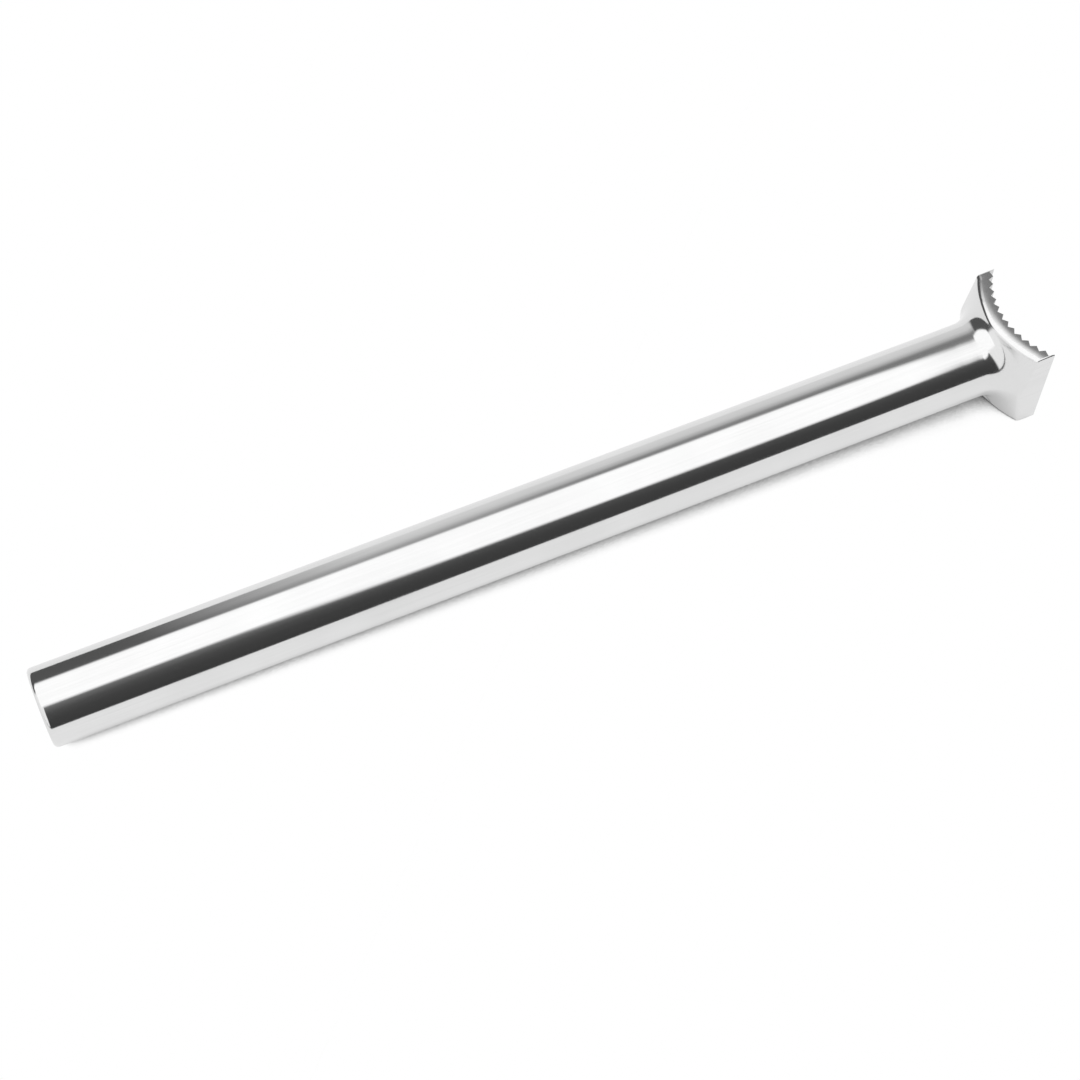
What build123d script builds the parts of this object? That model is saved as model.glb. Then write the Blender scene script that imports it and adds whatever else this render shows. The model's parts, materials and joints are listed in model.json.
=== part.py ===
from build123d import *
import os
from math import asin, atan2, ceil, cos, degrees, hypot, radians, sin, tan

# Sizes, in millimetres and degrees.
# Tube: a 1 inch post, its length taken from the open end to the teeth in the middle of the saddle seat.
tube_diameter = 25.4
tube_wall = 4.0
post_length = 330.0
tube_end_round = 1.5
bore_mouth_chamfer = 0.8
bore_nose_round = 4.0

# Saddle seat: a toothed plate, curved about an axis across the tube and wider than the tube all round.
seat_radius = 30.0
tooth_depth = 1.4
tooth_pitch = 3.2
rim_thickness = 5.2
wing_overhang = 6.7
rim_overhang = 4.55

# Forged form: the underside is drafted both ways from the parting plane, so the plate is thickest in the
# middle, and polishing has left a slight crown on its two sides. The tube is turned to size up to the neck,
# which keeps its draft.
underside_draft = 8.5
keel_round = 15.0
side_crown = 50.0
rim_round = 1.5
neck_length = 18.0
neck_draft = 0.4
neck_round = 7.0

# Tapped hole for the bolt that comes down through the saddle, drawn at the thread's major diameter.
bolt_diameter = 8.0
bolt_thread_length = 22.0
bolt_mouth_chamfer = 0.8

# Sizes that follow from these. Along the tube, x is 0 at the open end.
tube_radius = tube_diameter / 2
bore_radius = tube_radius - tube_wall
bolt_radius = bolt_diameter / 2
seat_half_length = tube_radius + wing_overhang
seat_half_width = tube_radius + rim_overhang
pivot_x = post_length + seat_radius
root_radius = seat_radius + tooth_depth
rim_radius = seat_radius + rim_thickness
seat_bottom_x = pivot_x - root_radius
bore_depth = seat_bottom_x - bolt_thread_length
nose_fillet = min(bore_nose_round, bore_radius - bolt_radius)

# The crown narrows the plate towards its rims, and the draft thickens it towards the parting plane. The blend
# at the neck has to end before the round of the wing's end, and the blank is wide enough for all of it.
crown_angle = asin(rim_thickness / side_crown)
rim_half_width = seat_half_width - side_crown * (1 - cos(crown_angle))
keel_radius = rim_radius + rim_half_width * tan(radians(underside_draft))
neck_start_x = post_length - neck_length
neck_top_radius = tube_radius + (seat_bottom_x - neck_start_x) * tan(radians(neck_draft))
wing_reach = seat_half_length - rim_round
neck_fillet = min(neck_round, keel_radius * (wing_reach - neck_top_radius) / (keel_radius - wing_reach))
blank_half_width = seat_half_width + neck_fillet
blank_radius = keel_radius - blank_half_width * tan(radians(underside_draft))
side_cut_radius = keel_radius + neck_fillet
side_cut_angle = asin((side_cut_radius - seat_radius) / side_crown)

# Teeth, as points on two circles about the seat's axis. They run past both ends of the seat.
pitch_angle = degrees(tooth_pitch / seat_radius)
teeth_each_side = ceil(degrees(asin(seat_half_length / seat_radius)) / pitch_angle) + 1


def on_seat_circle(radius, angle):
    return (pivot_x - radius * cos(radians(angle)), radius * sin(radians(angle)))


teeth = [on_seat_circle(root_radius, -teeth_each_side * pitch_angle)]
for step in range(-teeth_each_side, teeth_each_side):
    teeth.append(on_seat_circle(seat_radius, (step + 0.5) * pitch_angle))
    teeth.append(on_seat_circle(root_radius, (step + 1) * pitch_angle))

# Each end of the seat cuts through the flank of a tooth, and the wing's tip is the higher end of that flank.
flank_start = [point for point in teeth if point[1] < seat_half_length][-1]
flank_end = [point for point in teeth if point[1] >= seat_half_length][0]
flank_slope = (flank_end[0] - flank_start[0]) / (flank_end[1] - flank_start[1])
wing_tip_x = flank_start[0] + max(0, flank_slope * (seat_half_length - flank_start[1]))

# The post lies on its side on z = 0. The round of the tube's end and the lower side of the seat touch the
# ground, and the tube climbs a little towards the seat, which is wider than the tube.
contact_drop = seat_half_width - (tube_radius - tube_end_round)
contact_reach = seat_bottom_x - tube_end_round
tilt = atan2(contact_drop, contact_reach) - asin(tube_end_round / hypot(contact_drop, contact_reach))
end_height = tube_end_round + (tube_radius - tube_end_round) * cos(tilt) - tube_end_round * sin(tilt)
x_min = tube_end_round * (cos(tilt) - 1) - (tube_radius - tube_end_round) * sin(tilt)
x_max = wing_tip_x * cos(tilt) + seat_half_width * sin(tilt)
tube_end = Vector(-(x_min + x_max) / 2, 0, end_height)
along = Vector(cos(tilt), 0, sin(tilt))
across = Vector(-sin(tilt), 0, cos(tilt))
tube_axis = Axis(tube_end, along)
pivot_axis = Axis(tube_end + along * pivot_x, across)
side_view = Plane(origin=tube_end, x_dir=along, z_dir=across)
front_view = Plane(origin=tube_end, x_dir=along, z_dir=along.cross(across))

with BuildPart() as seatpost:
    # Blank of the seat plate: its section turned about the seat's axis, then cut to length.
    with BuildSketch(front_view) as plate_section:
        with BuildLine():
            Polyline(
                (pivot_x - seat_radius, 0),
                (pivot_x - seat_radius, blank_half_width),
                (pivot_x - blank_radius, blank_half_width),
                (pivot_x - keel_radius, 0),
                close=True,
            )
        make_face()
        mirror(about=Plane.XZ)
        fillet(plate_section.vertices().sort_by(Axis.X)[0], keel_round)
    revolve(axis=pivot_axis)
    with BuildSketch(side_view):
        with Locations((pivot_x, 0)):
            Rectangle(keel_radius, 2 * seat_half_length, align=(Align.MAX, Align.CENTER))
    extrude(amount=blank_half_width, both=True, mode=Mode.INTERSECT)

    # Tube and neck, run up into the plate and blended to its underside.
    with BuildSketch(side_view) as tube_section:
        with BuildLine():
            Polyline(
                (0, 0),
                (0, tube_radius),
                (neck_start_x, tube_radius),
                (seat_bottom_x, neck_top_radius),
                (seat_bottom_x, 0),
                close=True,
            )
        make_face()
        fillet(tube_section.vertices().group_by(Axis.X)[0].sort_by(Axis.Y)[-1], tube_end_round)
    revolve(axis=tube_axis)
    fillet(seatpost.edges(Select.NEW), neck_fillet)

    # Crowned sides, cut to the width of the seat.
    with BuildSketch(front_view):
        with BuildLine():
            crown = JernArc((pivot_x - seat_radius, seat_half_width), (-1, 0), side_crown, degrees(side_cut_angle))
            Polyline(
                crown @ 1,
                (pivot_x - side_cut_radius, 2 * blank_half_width),
                (pivot_x - seat_radius + rim_thickness, 2 * blank_half_width),
                (pivot_x - seat_radius + rim_thickness, seat_half_width),
                crown @ 0,
            )
        make_face()
        mirror(about=Plane.XZ)
    revolve(axis=pivot_axis, mode=Mode.SUBTRACT)

    # Rims, wing ends and corners, all but the seat's own edges, rounded by polishing.
    polished_edges = []
    for wing_end in seatpost.faces().filter_by(Axis.Y):
        polished_edges += wing_end.edges().sort_by(tube_axis)[:-1]
    for seat_side in seatpost.faces().filter_by(GeomType.REVOLUTION):
        polished_edges += seat_side.edges().filter_by_position(tube_axis, 0, post_length)
    fillet(polished_edges, rim_round)

    # Teeth, cut straight across the seat.
    with BuildSketch(side_view):
        with BuildLine():
            Polyline((pivot_x, -root_radius), *teeth, (pivot_x, root_radius), close=True)
        make_face()
    extrude(amount=seat_half_width, both=True, mode=Mode.SUBTRACT)

    # Bore of the tube, round at its inner end, and the bolt's hole from there to the seat.
    with BuildSketch(side_view) as bore_section:
        with BuildLine():
            Polyline(
                (0, 0),
                (0, bore_radius + bore_mouth_chamfer),
                (bore_mouth_chamfer, bore_radius),
                (bore_depth, bore_radius),
                (bore_depth, 0),
                close=True,
            )
        make_face()
        fillet(bore_section.vertices().group_by(Axis.X)[-1].sort_by(Axis.Y)[-1], nose_fillet)
    revolve(axis=tube_axis, mode=Mode.SUBTRACT)
    with BuildSketch(side_view):
        with BuildLine():
            Polyline(
                (bore_depth, 0),
                (bore_depth, bolt_radius),
                (seat_bottom_x - bolt_mouth_chamfer, bolt_radius),
                (seat_bottom_x, bolt_radius + bolt_mouth_chamfer),
                (pivot_x, bolt_radius + bolt_mouth_chamfer),
                (pivot_x, 0),
                close=True,
            )
        make_face()
    revolve(axis=tube_axis, mode=Mode.SUBTRACT)

os.makedirs("parts", exist_ok=True)
seatpost.part.label = "seatpost"
export_step(seatpost.part, "parts/seatpost.step")
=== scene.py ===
import json
from math import asin, atan2, ceil, copysign, cos, hypot, pi, radians, sin, sqrt, tan

import bpy
from mathutils import Matrix, Quaternion, Vector


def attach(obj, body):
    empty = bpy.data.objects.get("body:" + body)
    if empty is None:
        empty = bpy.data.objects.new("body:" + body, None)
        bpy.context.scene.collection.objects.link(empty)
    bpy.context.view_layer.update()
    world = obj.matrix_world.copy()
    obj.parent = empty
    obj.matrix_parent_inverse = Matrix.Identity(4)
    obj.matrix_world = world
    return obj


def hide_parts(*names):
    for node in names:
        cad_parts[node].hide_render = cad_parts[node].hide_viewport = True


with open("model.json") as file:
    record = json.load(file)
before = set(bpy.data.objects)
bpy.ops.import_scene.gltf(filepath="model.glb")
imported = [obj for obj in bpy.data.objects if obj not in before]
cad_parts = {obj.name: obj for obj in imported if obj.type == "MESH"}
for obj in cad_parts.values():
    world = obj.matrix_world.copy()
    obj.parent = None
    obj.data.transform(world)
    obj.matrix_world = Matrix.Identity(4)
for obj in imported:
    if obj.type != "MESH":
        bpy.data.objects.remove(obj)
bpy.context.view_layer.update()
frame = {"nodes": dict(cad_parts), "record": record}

mounts = {mount["name"]: mount for mount in frame["record"]["mounts"]}
print("frame loaded:", sorted(frame["nodes"]))


def selectNone():
    if bpy.context.object and bpy.context.object.mode == "EDIT":
        bpy.ops.object.mode_set(mode="OBJECT")
    bpy.ops.object.select_all(action="DESELECT")


def newMaterial(name):
    material = bpy.data.materials.new(name)
    material.use_nodes = True
    material.node_tree.nodes.clear()
    return material, material.node_tree.links


def addNode(material, kind, inputs=None, **settings):
    node = material.node_tree.nodes.new(kind)
    for setting, value in settings.items():
        setattr(node, setting, value)
    for socket, value in (inputs or {}).items():
        node.inputs[socket].default_value = value
    return node


# grey levels at their positions on a colour ramp
def fillRamp(ramp, levels):
    stops = ramp.color_ramp.elements
    for number, (position, level) in enumerate(levels):
        stop = stops[number] if number < len(stops) else stops.new(position)
        stop.position = position
        stop.color = (level, level, level, 1)


# points and edges as a new object, ready to be worked on
def startOutline(name, corners, edges):
    selectNone()
    mesh = bpy.data.meshes.new(name)
    mesh.from_pydata(corners, edges, [])
    piece = bpy.data.objects.new(name, mesh)
    bpy.context.scene.collection.objects.link(piece)
    bpy.context.view_layer.objects.active = piece
    piece.select_set(True)
    return piece


# where the post lies: its axis climbs a little from the open end to the seat

perMetre = 1000  # the post is sized in millimetres, the studio in metres
weldGap = 1e-7  # metres, under which two points are one
postLength = 330.0
along = -Vector(mounts["post_tube"]["axis"]).normalized()
across = Vector((-along.z, 0, along.x))
tubeEnd = Vector(mounts["saddle_seat"]["pos_m"]) - along * postLength / perMetre
climb = atan2(along.z, along.x)


def place(spot):
    return tubeEnd + (along * spot[0] + Vector((0, spot[1], 0)) + across * spot[2]) / perMetre


# metal finishes: shades are grey levels, marks are finest across their run, scales are per metre

polishedMetal = {
    "shades": (0.75, 0.80),
    "roughness": (0.085, 0.13),
    "cloudScale": 45.0,
    "markScale": (25.0, 2600.0, 2600.0),
    "markDepth": 0.000004,
    "markStrength": 0.12,
}
cutMetal = {
    "shades": (0.60, 0.76),
    "roughness": (0.24, 0.40),
    "cloudScale": 120.0,
    "markScale": (5200.0, 5200.0, 60.0),
    "markDepth": 0.00002,
    "markStrength": 0.35,
}
turnedMetal = {
    "shades": (0.60, 0.74),
    "roughness": (0.22, 0.36),
    "cloudScale": 90.0,
    "ringScale": 3200.0,
    "faceShare": 0.8,
    "markDepth": 0.00002,
    "markStrength": 0.30,
}
# shared by the finishes: wear is the mean of clouds and marks, and its span runs from dull to bright
metalGrain = {
    "markDetail": 3.0,
    "ringDetail": 2.0,
    "cloudDetail": 4.0,
    "meanShare": 0.5,
    "wearSpan": (0.35, 0.65),
}


# coordinates along, across and round the post, with the tube's axis on X
def postCoordinates(material, links):
    spot = addNode(material, "ShaderNodeTexCoord")
    turn = Matrix.Rotation(climb, 3, "Y")
    onAxis = addNode(material, "ShaderNodeMapping", {
        "Rotation": (0, climb, 0), "Location": -(turn @ tubeEnd)})
    links.new(spot.outputs["Object"], onAxis.inputs["Vector"])
    return onAxis.outputs["Vector"]


# straight tool or polishing marks, drawn out along one direction
def straightMarks(material, links, coordinates, look):
    stretch = addNode(material, "ShaderNodeMapping", {"Scale": look["markScale"]})
    links.new(coordinates, stretch.inputs["Vector"])
    marks = addNode(material, "ShaderNodeTexNoise", {"Scale": 1.0, "Detail": metalGrain["markDetail"]})
    links.new(stretch.outputs["Vector"], marks.inputs["Vector"])
    return marks.outputs["Fac"]


# rings left by turning: along the wall of a bore, and outwards on a faced end
def turnedRings(material, links, coordinates, look):
    split = addNode(material, "ShaderNodeSeparateXYZ")
    links.new(coordinates, split.inputs["Vector"])
    spoke = addNode(material, "ShaderNodeCombineXYZ")
    links.new(split.outputs["Y"], spoke.inputs["Y"])
    links.new(split.outputs["Z"], spoke.inputs["Z"])
    radius = addNode(material, "ShaderNodeVectorMath", operation="LENGTH")
    links.new(spoke.outputs["Vector"], radius.inputs[0])
    feed = addNode(material, "ShaderNodeMath", {1: look["faceShare"]}, operation="MULTIPLY_ADD")
    links.new(radius.outputs["Value"], feed.inputs[0])
    links.new(split.outputs["X"], feed.inputs[2])
    rings = addNode(material, "ShaderNodeTexNoise", {
        "Scale": look["ringScale"], "Detail": metalGrain["ringDetail"]}, noise_dimensions="1D")
    links.new(feed.outputs["Value"], rings.inputs["W"])
    return rings.outputs["Fac"]


def makeMetal(name, look, makeMarks):
    material, links = newMaterial(name)
    output = addNode(material, "ShaderNodeOutputMaterial")
    shader = addNode(material, "ShaderNodeBsdfPrincipled", {"Metallic": 1})
    links.new(shader.outputs["BSDF"], output.inputs["Surface"])
    coordinates = postCoordinates(material, links)
    marks = makeMarks(material, links, coordinates, look)
    clouds = addNode(material, "ShaderNodeTexNoise", {
        "Scale": look["cloudScale"], "Detail": metalGrain["cloudDetail"]})
    links.new(coordinates, clouds.inputs["Vector"])
    both = addNode(material, "ShaderNodeMath", operation="ADD")
    links.new(clouds.outputs["Fac"], both.inputs[0])
    links.new(marks, both.inputs[1])
    wear = addNode(material, "ShaderNodeMath", {1: metalGrain["meanShare"]}, operation="MULTIPLY")
    links.new(both.outputs["Value"], wear.inputs[0])
    shade = addNode(material, "ShaderNodeValToRGB")
    fillRamp(shade, zip(metalGrain["wearSpan"], look["shades"]))
    links.new(wear.outputs["Value"], shade.inputs["Fac"])
    links.new(shade.outputs["Color"], shader.inputs["Base Color"])
    dull, bright = metalGrain["wearSpan"]
    smoothest, roughest = look["roughness"]
    rough = addNode(material, "ShaderNodeMapRange", {
        "From Min": dull, "From Max": bright, "To Min": roughest, "To Max": smoothest})
    links.new(wear.outputs["Value"], rough.inputs["Value"])
    links.new(rough.outputs["Result"], shader.inputs["Roughness"])
    bump = addNode(material, "ShaderNodeBump", {
        "Strength": look["markStrength"], "Distance": look["markDepth"]})
    links.new(marks, bump.inputs["Height"])
    links.new(bump.outputs["Normal"], shader.inputs["Normal"])
    return material


polished = makeMetal("polishedAluminium", polishedMetal, straightMarks)
cut = makeMetal("cutAluminium", cutMetal, straightMarks)
turned = makeMetal("turnedAluminium", turnedMetal, turnedRings)
print("metal mixed")


# post: millimetres along the tube from its open end, y across the wings, z across the seat

post = {
    "tubeRadius": mounts["post_tube"]["dims"]["r_mm"],
    "endRound": 1.5,
    "neckStart": 312.0,
    "neckDraft": radians(0.4),
    "wingBlend": 10.0,
    "sideBlend": 6.5,
    "seatRadius": mounts["saddle_seat"]["dims"]["r_mm"],
    "rimThickness": 5.2,
    "halfLength": 19.4,
    "halfWidth": 17.21,
    "draft": radians(8.5),
    "keelRound": 15.0,
    "crown": 50.0,
    "rimRound": 1.5,
    "tipRound": 0.6,
    "blankRadius": 28.5,  # where the skin stops, above the teeth
}
# faces round the outline and along each stretch of the skin, places along the tube, and passes to settle in
skinSteps = {
    "side": 56,
    "wing": 44,
    "corner": 5,
    "end": 7,
    "tube": (3.0, 311.0, post["neckStart"]),
    "neck": 4,
    "blend": 14,
    "underside": 10,
    "rim": 6,
    "wall": 12,
    "settle": 12,
}
pivotX = postLength + post["seatRadius"]
rimAngle = asin(post["rimThickness"] / post["crown"])
rimHalfWidth = post["halfWidth"] - post["crown"] * (1 - cos(rimAngle))
keelRadius = post["seatRadius"] + post["rimThickness"] + rimHalfWidth * tan(post["draft"])
keelCentre = keelRadius - post["keelRound"] / cos(post["draft"])
coreY = post["halfLength"] - post["rimRound"]
innerCrown = post["crown"] - post["rimRound"]
crownCentre = post["halfWidth"] - post["crown"]


# spot and outward direction on the underside of the seat, or on its offset by a gap
def onUnderside(y, z, gap=0.0):
    reach = post["keelRound"] + gap
    if abs(z) < reach * sin(post["draft"]):
        radius = keelCentre + sqrt(reach ** 2 - z ** 2)
        outR, outZ = (radius - keelCentre) / reach, z / reach
    else:
        radius = keelRadius + gap / cos(post["draft"]) - abs(z) * tan(post["draft"])
        outR, outZ = cos(post["draft"]), copysign(sin(post["draft"]), z)
    x = pivotX - sqrt(radius ** 2 - y ** 2)
    return Vector((x, y, z)), Vector((outR * (x - pivotX) / radius, outR * y / radius, outZ))


# half width of the crowned sides, at the centre of the round that runs along their rim
def coreHalfWidth(radius):
    return crownCentre + sqrt(innerCrown ** 2 - (radius - post["seatRadius"]) ** 2)


# radius of the neck's blend, widest under the wings
def blendRadius(angle):
    return post["sideBlend"] + (post["wingBlend"] - post["sideBlend"]) * cos(angle) ** 2


# ball that rolls round the neck, with the directions from the two surfaces it touches
def neckBall(angle):
    blend = blendRadius(angle)
    reach = post["tubeRadius"] + blend
    for attempt in range(skinSteps["settle"]):
        ball, under = onUnderside(reach * cos(angle), reach * sin(angle), blend)
        neckRadius = post["tubeRadius"] + (ball.x - post["neckStart"]) * tan(post["neckDraft"])
        reach = neckRadius + blend / cos(post["neckDraft"])
    spoke = Vector((0, cos(angle), sin(angle)))
    return ball, spoke * cos(post["neckDraft"]) - Vector((sin(post["neckDraft"]), 0, 0)), under


# centre of the rim's round, under the blend where the blend reaches the rim and else under the underside
def rimCore(y, z):
    angle = atan2(z, y)
    ball, neckOut, under = neckBall(angle)
    reach = blendRadius(angle) + post["rimRound"]
    blendCore = ball - reach * under
    inward = hypot(ball.y, ball.z) - hypot(y, z)
    if hypot(y, z) > hypot(blendCore.y, blendCore.z):
        core, down = onUnderside(y, z, -post["rimRound"])
        return core, down, under
    core = Vector((ball.x + sqrt(reach ** 2 - inward ** 2), y, z))
    down = (ball - core) / reach
    return core, down, down


def sideCoreZ(y):
    z = rimHalfWidth
    for attempt in range(skinSteps["settle"]):
        z = coreHalfWidth(hypot(pivotX - rimCore(y, z)[0].x, y))
    return z


# columns round the outline: core y, share of the half width, and turn from the side to the wing's end
def outlineColumns():
    columns = []
    for side in (1, -1):
        for step in range(skinSteps["side"]):
            columns.append((side * coreY * (1 - 2 * step / skinSteps["side"]), side, 0.0))
        for step in range(skinSteps["corner"]):
            columns.append((-side * coreY, side, step / skinSteps["corner"]))
        for step in range(skinSteps["wing"]):
            columns.append((-side * coreY, side * (1 - 2 * step / skinSteps["wing"]), 1.0))
        for step in range(skinSteps["corner"]):
            columns.append((-side * coreY, -side, 1 - step / skinSteps["corner"]))
    return columns


# spot on the wall round the seat, at a distance x along the post, and the way to it from the round's centre
def onWall(x, column):
    y, share, turn = column
    radius = hypot(pivotX - x, y)
    halfWidth = coreHalfWidth(radius)
    outR, outZ = (radius - post["seatRadius"]) / innerCrown, (halfWidth - crownCentre) / innerCrown
    sideOut = Vector((outR * (x - pivotX) / radius, outR * y / radius, copysign(outZ, share)))
    out = sideOut.slerp(Vector((0, copysign(1, y), 0)), turn)
    if abs(y) == coreY and abs(share) == 1:
        # upright corners of the wings, sharper than the rim
        push = Vector((0, copysign(1, y), copysign(1, share))) * (post["rimRound"] - post["tipRound"])
        way = push + post["tipRound"] * out
    else:
        way = post["rimRound"] * out
    return Vector((x, y, share * halfWidth)) + way, way


# one column of the skin: the open end, the tube, the neck, the underside, and the wall to above the teeth
def skinColumn(column):
    y, share = column[:2]
    z = share * sideCoreZ(y)
    spoke = Vector((0, y, z)).normalized()
    spots = []
    for step in range(skinSteps["end"] + 1):
        bend = step / skinSteps["end"] * pi / 2
        spots.append(Vector((post["endRound"] * (1 - cos(bend)), 0, 0))
                     + spoke * (post["tubeRadius"] - post["endRound"] * (1 - sin(bend))))
    for x in skinSteps["tube"]:
        spots.append(Vector((x, 0, 0)) + spoke * post["tubeRadius"])

    angle = atan2(z, y)
    ball, neckOut = neckBall(angle)[:2]
    blend = blendRadius(angle)
    core, down, blendOut = rimCore(y, z)
    neckLength = (ball - blend * neckOut).x - post["neckStart"]
    for step in range(1, skinSteps["neck"]):
        rise = neckLength * step / skinSteps["neck"]
        spots.append(Vector((post["neckStart"] + rise, 0, 0))
                     + spoke * (post["tubeRadius"] + rise * tan(post["neckDraft"])))
    for step in range(skinSteps["blend"] + 1):
        spots.append(ball - blend * neckOut.slerp(blendOut, step / skinSteps["blend"]))

    blendStop, roundStart = spots[-1], core + post["rimRound"] * down
    for step in range(1, skinSteps["underside"]):
        middle = blendStop.lerp(roundStart, step / skinSteps["underside"])
        spots.append(onUnderside(middle.y, middle.z)[0] if blendOut != down else middle)
    wallWay = onWall(core.x, column)[1]
    for step in range(skinSteps["rim"] + 1):
        part = step / skinSteps["rim"]
        reach = post["rimRound"] + (wallWay.length - post["rimRound"]) * part
        spots.append(core + reach * down.slerp(wallWay.normalized(), part))
    topX = pivotX - sqrt(post["blankRadius"] ** 2 - y ** 2)
    for step in range(1, skinSteps["wall"] + 1):
        spots.append(onWall(core.x + (topX - core.x) * step / skinSteps["wall"], column)[0])
    return [place(spot) for spot in spots]


def makeSkin():
    selectNone()
    skin = [skinColumn(column) for column in outlineColumns()]
    rings = len(skin[0])
    bpy.ops.mesh.primitive_grid_add(x_subdivisions=len(skin), y_subdivisions=rings - 1, size=1)
    piece = bpy.context.active_object
    piece.name = "seatpostForging"
    piece.data.name = "seatpostForging"
    for vertex in piece.data.vertices:
        ring, column = divmod(vertex.index, len(skin) + 1)
        vertex.co = skin[column % len(skin)][ring]
    bpy.ops.object.mode_set(mode="EDIT")
    bpy.ops.mesh.select_all(action="SELECT")
    bpy.ops.mesh.remove_doubles(threshold=weldGap)
    # both open ends are closed, the seat's above the teeth that are cut next
    bpy.ops.mesh.select_all(action="DESELECT")
    bpy.ops.mesh.select_mode(type="EDGE")
    bpy.ops.mesh.select_non_manifold()
    bpy.ops.mesh.edge_face_add()
    bpy.ops.mesh.select_all(action="SELECT")
    bpy.ops.mesh.normals_make_consistent(inside=False)
    bpy.ops.object.mode_set(mode="OBJECT")
    piece.matrix_world.identity()
    piece.data.materials.append(polished)
    return piece


forging = makeSkin()
print("forging skinned:", len(forging.data.polygons), "faces")


# cutters

def cutAway(piece, cutter):
    selectNone()
    piece.select_set(True)
    bpy.context.view_layer.objects.active = piece
    taken = piece.modifiers.new("taken", "BOOLEAN")
    taken.operation = "DIFFERENCE"
    taken.solver = "EXACT"
    taken.material_mode = "TRANSFER"
    taken.object = cutter
    bpy.ops.object.modifier_apply(modifier=taken.name)
    bpy.data.objects.remove(cutter)


teeth = {"depth": 1.4, "pitch": 3.2, "cutterHalfWidth": 25.0}


def makeToothCutter():
    pitchAngle = teeth["pitch"] / post["seatRadius"]
    rootRadius = post["seatRadius"] + teeth["depth"]
    count = ceil(asin(post["halfLength"] / post["seatRadius"]) / pitchAngle) + 1
    outline = [(pivotX, -rootRadius)]
    for step in range(-2 * count, 2 * count + 1):
        radius = post["seatRadius"] if step % 2 else rootRadius
        outline.append((pivotX - radius * cos(step * pitchAngle / 2), radius * sin(step * pitchAngle / 2)))
    outline.append((pivotX, rootRadius))
    low = [place((x, y, -teeth["cutterHalfWidth"])) for x, y in outline]
    cutter = startOutline("toothCutter", low, [(n, (n + 1) % len(low)) for n in range(len(low))])
    bpy.ops.object.mode_set(mode="EDIT")
    bpy.ops.mesh.select_all(action="SELECT")
    bpy.ops.mesh.edge_face_add()
    lift = across * 2 * teeth["cutterHalfWidth"] / perMetre
    bpy.ops.mesh.extrude_region_move(TRANSFORM_OT_translate={"value": lift})
    bpy.ops.mesh.select_all(action="SELECT")
    bpy.ops.mesh.normals_make_consistent(inside=False)
    bpy.ops.object.mode_set(mode="OBJECT")
    cutter.data.materials.append(cut)
    return cutter


bore = {
    "radius": 8.7,
    "mouthChamfer": 0.8,
    "runOut": 5.0,
    "depth": 306.6,
    "noseRound": 4.0,
    "noseSteps": 8,
    "boltRadius": mounts["saddle_bolt"]["dims"]["r_mm"],
    "boltTop": 327.8,
    "boltChamfer": 0.9,  # runs a little past the tooth roots
    "steps": 130,
}


def makeBoreCutter():
    mouth = bore["radius"] + bore["mouthChamfer"]
    profile = [
        (-bore["runOut"], 0.0),
        (-bore["runOut"], mouth),
        (0.0, mouth),
        (bore["mouthChamfer"], bore["radius"]),
    ]
    for step in range(bore["noseSteps"] + 1):
        bend = step / bore["noseSteps"] * pi / 2
        profile.append((bore["depth"] - bore["noseRound"] * (1 - sin(bend)),
                        bore["radius"] - bore["noseRound"] * (1 - cos(bend))))
    boltMouth = bore["boltRadius"] + bore["boltChamfer"]
    profile += [
        (bore["depth"], bore["boltRadius"]),
        (bore["boltTop"], bore["boltRadius"]),
        (bore["boltTop"] + bore["boltChamfer"], boltMouth),
        (pivotX, boltMouth),
        (pivotX, 0.0),
    ]
    corners = [place((x, radius, 0)) for x, radius in profile]
    cutter = startOutline("boreCutter", corners, [(n, n + 1) for n in range(len(corners) - 1)])
    bpy.ops.object.mode_set(mode="EDIT")
    bpy.ops.mesh.select_all(action="SELECT")
    bpy.ops.mesh.spin(steps=bore["steps"], angle=2 * pi, center=tubeEnd, axis=along)
    bpy.ops.mesh.select_all(action="SELECT")
    bpy.ops.mesh.remove_doubles(threshold=weldGap)
    bpy.ops.mesh.normals_make_consistent(inside=False)
    bpy.ops.object.mode_set(mode="OBJECT")
    cutter.data.materials.append(turned)
    return cutter


cutAway(forging, makeToothCutter())
cutAway(forging, makeBoreCutter())

shading = {"endFacing": 0.999, "sharpAngle": radians(25), "faceWeight": 80}

# the open end was faced on the lathe
turnedSlot = forging.data.materials.find(turned.name)
for face in forging.data.polygons:
    if face.normal.dot(along) < -shading["endFacing"]:
        face.material_index = turnedSlot

selectNone()
forging.select_set(True)
bpy.context.view_layer.objects.active = forging
bpy.ops.object.shade_smooth_by_angle(angle=shading["sharpAngle"])
even = forging.modifiers.new("evenShade", "WEIGHTED_NORMAL")
even.keep_sharp = True
even.weight = shading["faceWeight"]
bpy.ops.object.modifier_apply(modifier=even.name)
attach(forging, "root")
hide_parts("seatpost")
print("forging cut:", len(forging.data.polygons), "faces")


# thread for the saddle's bolt, M8 x 1.25, standing in from the wall of its hole

thread = {
    "pitch": 1.25,
    "turns": 16,
    "start": 307.4,
    "rootRadius": 4.02,
    "rootLand": 1.09,
    "crestRadius": 3.32,
    "crestLand": 0.31,
    "steps": 48,
}


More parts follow.
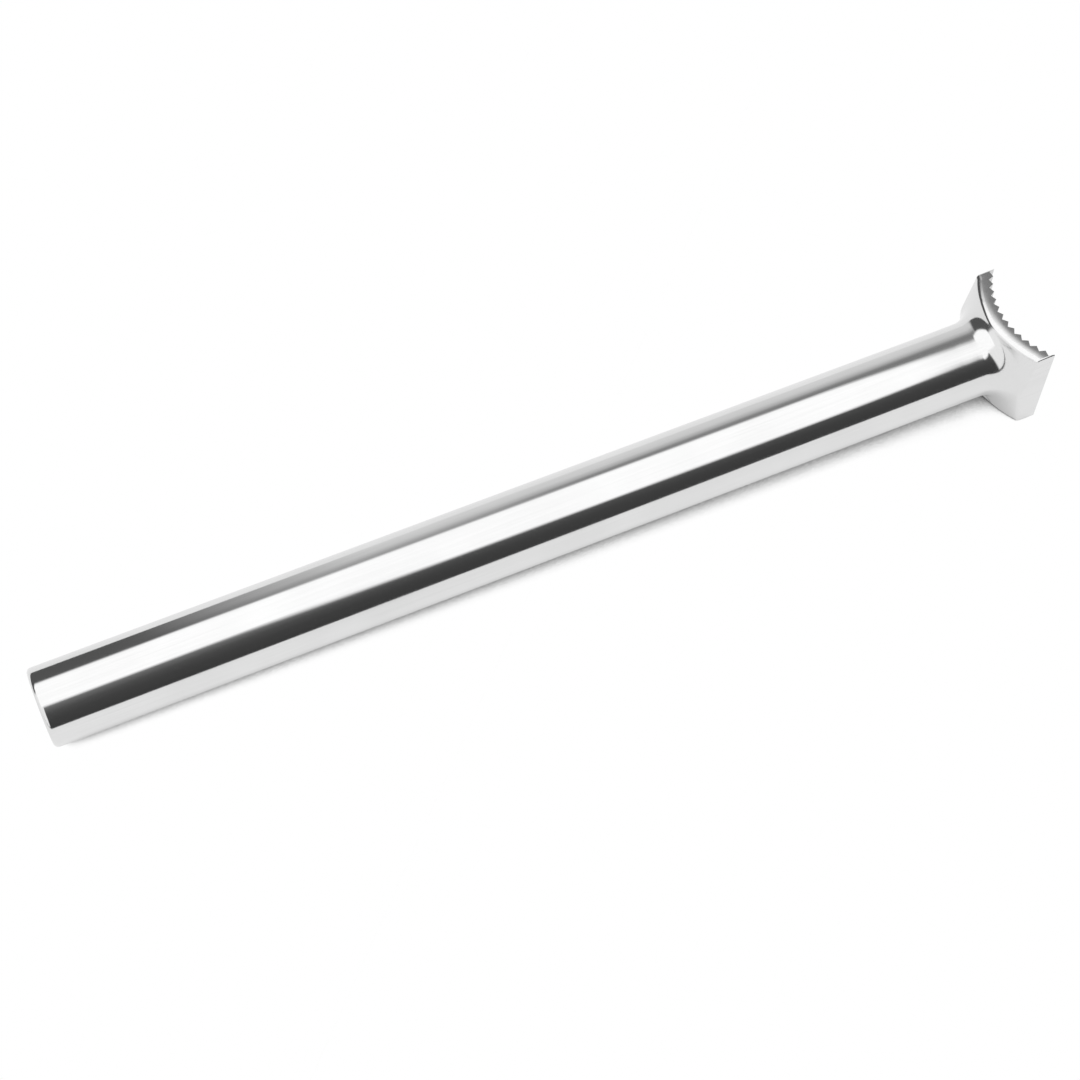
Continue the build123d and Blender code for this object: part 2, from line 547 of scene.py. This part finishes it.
def makeThread():
    ridge = [
        (thread["rootRadius"], -thread["rootLand"]),
        (thread["rootRadius"], thread["rootLand"]),
        (thread["crestRadius"], thread["crestLand"]),
        (thread["crestRadius"], -thread["crestLand"]),
    ]
    corners = [(radius / perMetre, 0, land / 2 / perMetre) for radius, land in ridge]
    piece = startOutline("saddleBoltThread", corners, [(0, 1), (1, 2), (2, 3), (3, 0)])
    wind = piece.modifiers.new("wind", "SCREW")
    wind.screw_offset = thread["pitch"] / perMetre
    wind.iterations = thread["turns"]
    wind.steps = thread["steps"]
    wind.render_steps = thread["steps"]
    bpy.ops.object.modifier_apply(modifier=wind.name)
    bpy.ops.object.mode_set(mode="EDIT")
    bpy.ops.mesh.select_all(action="DESELECT")
    bpy.ops.mesh.select_mode(type="EDGE")
    bpy.ops.mesh.select_non_manifold()
    bpy.ops.mesh.edge_face_add()
    bpy.ops.mesh.select_all(action="SELECT")
    bpy.ops.mesh.normals_make_consistent(inside=False)
    bpy.ops.object.mode_set(mode="OBJECT")
    # wound about Z, then turned to run along the hole
    stand = Matrix((Vector((0, 1, 0)), across, along)).transposed().to_4x4()
    stand.translation = place((thread["start"], 0, 0))
    piece.data.transform(stand)
    bpy.ops.object.shade_smooth_by_angle(angle=shading["sharpAngle"])
    piece.data.materials.append(turned)
    return piece


boltThread = makeThread()
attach(boltThread, "root")
print("thread wound:", len(boltThread.data.polygons), "faces")


# floor, white to the camera and in the metal, darker where the post keeps the light from it

floorLook = {
    "size": 12.0,
    "height": -0.0001,
    "paper": (0.8, 0.8, 0.8, 1),
    "shadowReach": 0.2,
    # open share of the sky, and the floor's white, at the dark and the light end of a shadow
    "seenSky": (0.24, 0.43),
    "seenWhite": (0.05, 1.0),
    "mirroredSky": (0.0, 0.65),
    "mirroredWhite": (0.3, 0.94),
    # added to the open share that is seen, from the post's open end to its seat
    "gainSpan": (-0.17, 0.17),
    "gains": [(0.0, 0.055), (0.85, -0.024), (0.90, -0.014), (0.93, 0.012), (0.96, 0.09), (1.0, 0.09)],
    "gainShift": 0.1,  # keeps the ramp's levels above zero
}


def makeFloor():
    selectNone()
    bpy.ops.mesh.primitive_plane_add(size=floorLook["size"], location=(0, 0, floorLook["height"]))
    floor = bpy.context.active_object
    floor.name = "studioFloor"
    material, links = newMaterial("floorPaper")
    output = addNode(material, "ShaderNodeOutputMaterial")
    paper = addNode(material, "ShaderNodeBsdfDiffuse", {"Color": floorLook["paper"]})
    sky = addNode(material, "ShaderNodeAmbientOcclusion", {"Distance": floorLook["shadowReach"]})
    spot = addNode(material, "ShaderNodeTexCoord")
    split = addNode(material, "ShaderNodeSeparateXYZ")
    links.new(spot.outputs["Object"], split.inputs["Vector"])
    start, stop = floorLook["gainSpan"]
    share = addNode(material, "ShaderNodeMapRange", {"From Min": start, "From Max": stop})
    links.new(split.outputs["X"], share.inputs["Value"])
    gain = addNode(material, "ShaderNodeValToRGB")
    links.new(share.outputs["Result"], gain.inputs["Fac"])
    fillRamp(gain, [(position, level + floorLook["gainShift"]) for position, level in floorLook["gains"]])
    shifted = addNode(material, "ShaderNodeMath", operation="ADD")
    links.new(sky.outputs["AO"], shifted.inputs[0])
    links.new(gain.outputs["Color"], shifted.inputs[1])
    openSeen = addNode(material, "ShaderNodeMath", {1: floorLook["gainShift"]}, operation="SUBTRACT")
    links.new(shifted.outputs["Value"], openSeen.inputs[0])
    openSky = {"seen": openSeen.outputs["Value"], "mirrored": sky.outputs["AO"]}
    shadows = {}
    for way, bend in (("seen", "SMOOTHSTEP"), ("mirrored", "LINEAR")):
        dark, light = floorLook[way + "Sky"]
        low, high = floorLook[way + "White"]
        shadows[way] = addNode(material, "ShaderNodeMapRange", {
            "From Min": dark, "From Max": light, "To Min": low, "To Max": high}, interpolation_type=bend)
        links.new(openSky[way], shadows[way].inputs["Value"])
    path = addNode(material, "ShaderNodeLightPath")
    mirrored = addNode(material, "ShaderNodeMath", operation="MAXIMUM")
    links.new(path.outputs["Is Glossy Ray"], mirrored.inputs[0])
    links.new(path.outputs["Is Transmission Ray"], mirrored.inputs[1])
    seen = addNode(material, "ShaderNodeMath", operation="MAXIMUM")
    links.new(path.outputs["Is Camera Ray"], seen.inputs[0])
    links.new(mirrored.outputs["Value"], seen.inputs[1])
    shadow = addNode(material, "ShaderNodeMix")
    links.new(mirrored.outputs["Value"], shadow.inputs["Factor"])
    links.new(shadows["seen"].outputs["Result"], shadow.inputs["A"])
    links.new(shadows["mirrored"].outputs["Result"], shadow.inputs["B"])
    white = addNode(material, "ShaderNodeEmission")
    links.new(shadow.outputs["Result"], white.inputs["Strength"])
    both = addNode(material, "ShaderNodeMixShader")
    links.new(seen.outputs["Value"], both.inputs["Fac"])
    links.new(paper.outputs["BSDF"], both.inputs[1])
    links.new(white.outputs["Emission"], both.inputs[2])
    links.new(both.outputs["Shader"], output.inputs["Surface"])
    floor.data.materials.append(material)


makeFloor()
print("floor laid")


# studio cards, seen only in the metal: each has an outline where it fades out, and the full card inside it

overheadLight = {
    "glow": 1.25,
    "height": 0.75,
    "outline": [(-1.2, 0.77), (-0.10, 0.76), (0.12, 0.67), (0.32, 0.565), (0.445, 0.52), (0.475, 0.39),
                (0.50, 0.31), (0.55, 0.10), (0.58, -0.20), (0.59, -0.62), (0.53, -0.80), (0.40, -0.81),
                (0.27, -0.76), (0.10, -0.69), (0.0, -0.57), (-0.08, -0.45), (-1.2, -0.44)],
    "full": [(-1.0, 0.61), (-0.10, 0.60), (0.08, 0.53), (0.28, 0.44), (0.385, 0.41), (0.41, 0.37),
             (0.43, 0.29), (0.47, 0.10), (0.50, -0.20), (0.51, -0.58), (0.47, -0.65), (0.40, -0.665),
             (0.29, -0.62), (0.13, -0.55), (0.07, -0.49), (-0.03, -0.34), (-1.0, -0.30)],
}
rightGrey = {
    "glow": 0.23,
    "height": 0.82,
    "outline": [(0.2, -0.2), (0.2, 1.0), (0.7, 1.0), (1.3, 0.7), (1.3, -0.2)],
    "full": [(0.3, 0.0), (0.3, 0.6), (0.55, 0.65), (0.9, 0.5), (0.9, 0.0)],
}
nearTable = {
    "glow": 0.05,
    "height": 0.0008,
    "outline": [(-3, -0.24), (0.08, -0.24), (0.2, -0.31), (0.5, -0.47), (5, -0.47), (5, -3), (-3, -3)],
    "full": [(-3, -0.27), (0.08, -0.27), (0.2, -0.34), (0.5, -0.50), (5, -0.50), (5, -3), (-3, -3)],
}
nearWall = {
    "glow": [(0.0, 0.052), (0.25, 0.06), (0.5, 0.085), (0.8, 0.16)],
    "rise": 5.5,
    "distance": -3.0,
    "outline": [(-1.25, 0), (5, 0), (5, 8), (-1.25, 8)],
    "full": [(-0.85, 0), (5, 0), (5, 7), (-0.85, 7)],
}
farGrey = {
    "glow": [(0.0, 0.81), (0.35, 0.73), (0.575, 0.5), (0.875, 0.3)],
    "rise": 4.0,
    "distance": 3.0,
    "outline": [(-0.1, 0), (6, 0), (6, 8), (-0.1, 8)],
    "full": [(0.35, 0), (6, 0), (6, 8), (0.35, 8)],
}
farDark = {
    "glow": 0.10,
    "distance": 3.1,
    "outline": [(-9.0, 0), (2, 0), (2, 8), (-9.0, 8)],
    "full": [(-6.5, 0), (2, 0), (2, 8), (-6.5, 8)],
}


def makeCard(name, look):
    def stand(spot):
        if "height" in look:
            return (spot[0], spot[1], look["height"])
        return (spot[0], look["distance"], spot[1])

    count = len(look["outline"])
    corners = [stand(spot) for spot in look["full"] + look["outline"]]
    faces = [range(count)]
    for corner in range(count):
        after = (corner + 1) % count
        faces.append((corner, after, count + after, count + corner))
    mesh = bpy.data.meshes.new(name)
    mesh.from_pydata(corners, [], faces)
    cover = mesh.attributes.new("cover", "FLOAT", "POINT")
    cover.data.foreach_set("value", [1.0] * count + [0.0] * count)
    card = bpy.data.objects.new(name, mesh)
    bpy.context.scene.collection.objects.link(card)

    material, links = newMaterial(name)
    output = addNode(material, "ShaderNodeOutputMaterial")
    glow = addNode(material, "ShaderNodeEmission")
    if "rise" in look:
        spot = addNode(material, "ShaderNodeTexCoord")
        split = addNode(material, "ShaderNodeSeparateXYZ")
        share = addNode(material, "ShaderNodeMath", {1: look["rise"]}, operation="DIVIDE")
        ramp = addNode(material, "ShaderNodeValToRGB")
        links.new(spot.outputs["Object"], split.inputs["Vector"])
        links.new(split.outputs["Z"], share.inputs[0])
        links.new(share.outputs["Value"], ramp.inputs["Fac"])
        links.new(ramp.outputs["Color"], glow.inputs["Color"])
        fillRamp(ramp, look["glow"])
    else:
        glow.inputs["Strength"].default_value = look["glow"]
    fade = addNode(material, "ShaderNodeAttribute", attribute_name="cover")
    clear = addNode(material, "ShaderNodeBsdfTransparent")
    both = addNode(material, "ShaderNodeMixShader")
    links.new(fade.outputs["Fac"], both.inputs["Fac"])
    links.new(clear.outputs["BSDF"], both.inputs[1])
    links.new(glow.outputs["Emission"], both.inputs[2])
    links.new(both.outputs["Shader"], output.inputs["Surface"])
    mesh.materials.append(material)
    card.visible_camera = False
    card.visible_diffuse = False
    card.visible_shadow = False


makeCard("overheadLight", overheadLight)
makeCard("rightGrey", rightGrey)
makeCard("nearTable", nearTable)
makeCard("nearWall", nearWall)
makeCard("farGrey", farGrey)
makeCard("farDark", farDark)
print("cards hung")


# world and camera

studioAir = {"Color": (1, 1, 1, 1), "Strength": 1.0}

world = bpy.data.worlds.new("studioAir")
bpy.context.scene.world = world
world.use_nodes = True
for socket, value in studioAir.items():
    world.node_tree.nodes["Background"].inputs[socket].default_value = value
bpy.context.scene.view_settings.view_transform = "Standard"

photoCamera = {
    "spot": (-0.151598, -0.310773, 0.566454),
    "aim": (-0.007109, -0.005417, 0.013),
    "roll": radians(1.653),
    "sensor": 36.0,
    "lens": 68.45,
    "clip": (0.01, 50.0),
}

selectNone()
bpy.ops.object.camera_add(location=photoCamera["spot"])
camera = bpy.context.active_object
sight = Vector(photoCamera["aim"]) - Vector(photoCamera["spot"])
aimed = sight.to_track_quat("-Z", "Y") @ Quaternion((0, 0, 1), photoCamera["roll"])
camera.rotation_euler = aimed.to_euler()
camera.data.sensor_width = photoCamera["sensor"]
camera.data.lens = photoCamera["lens"]
camera.data.clip_start, camera.data.clip_end = photoCamera["clip"]
bpy.context.scene.camera = camera
print("camera placed")
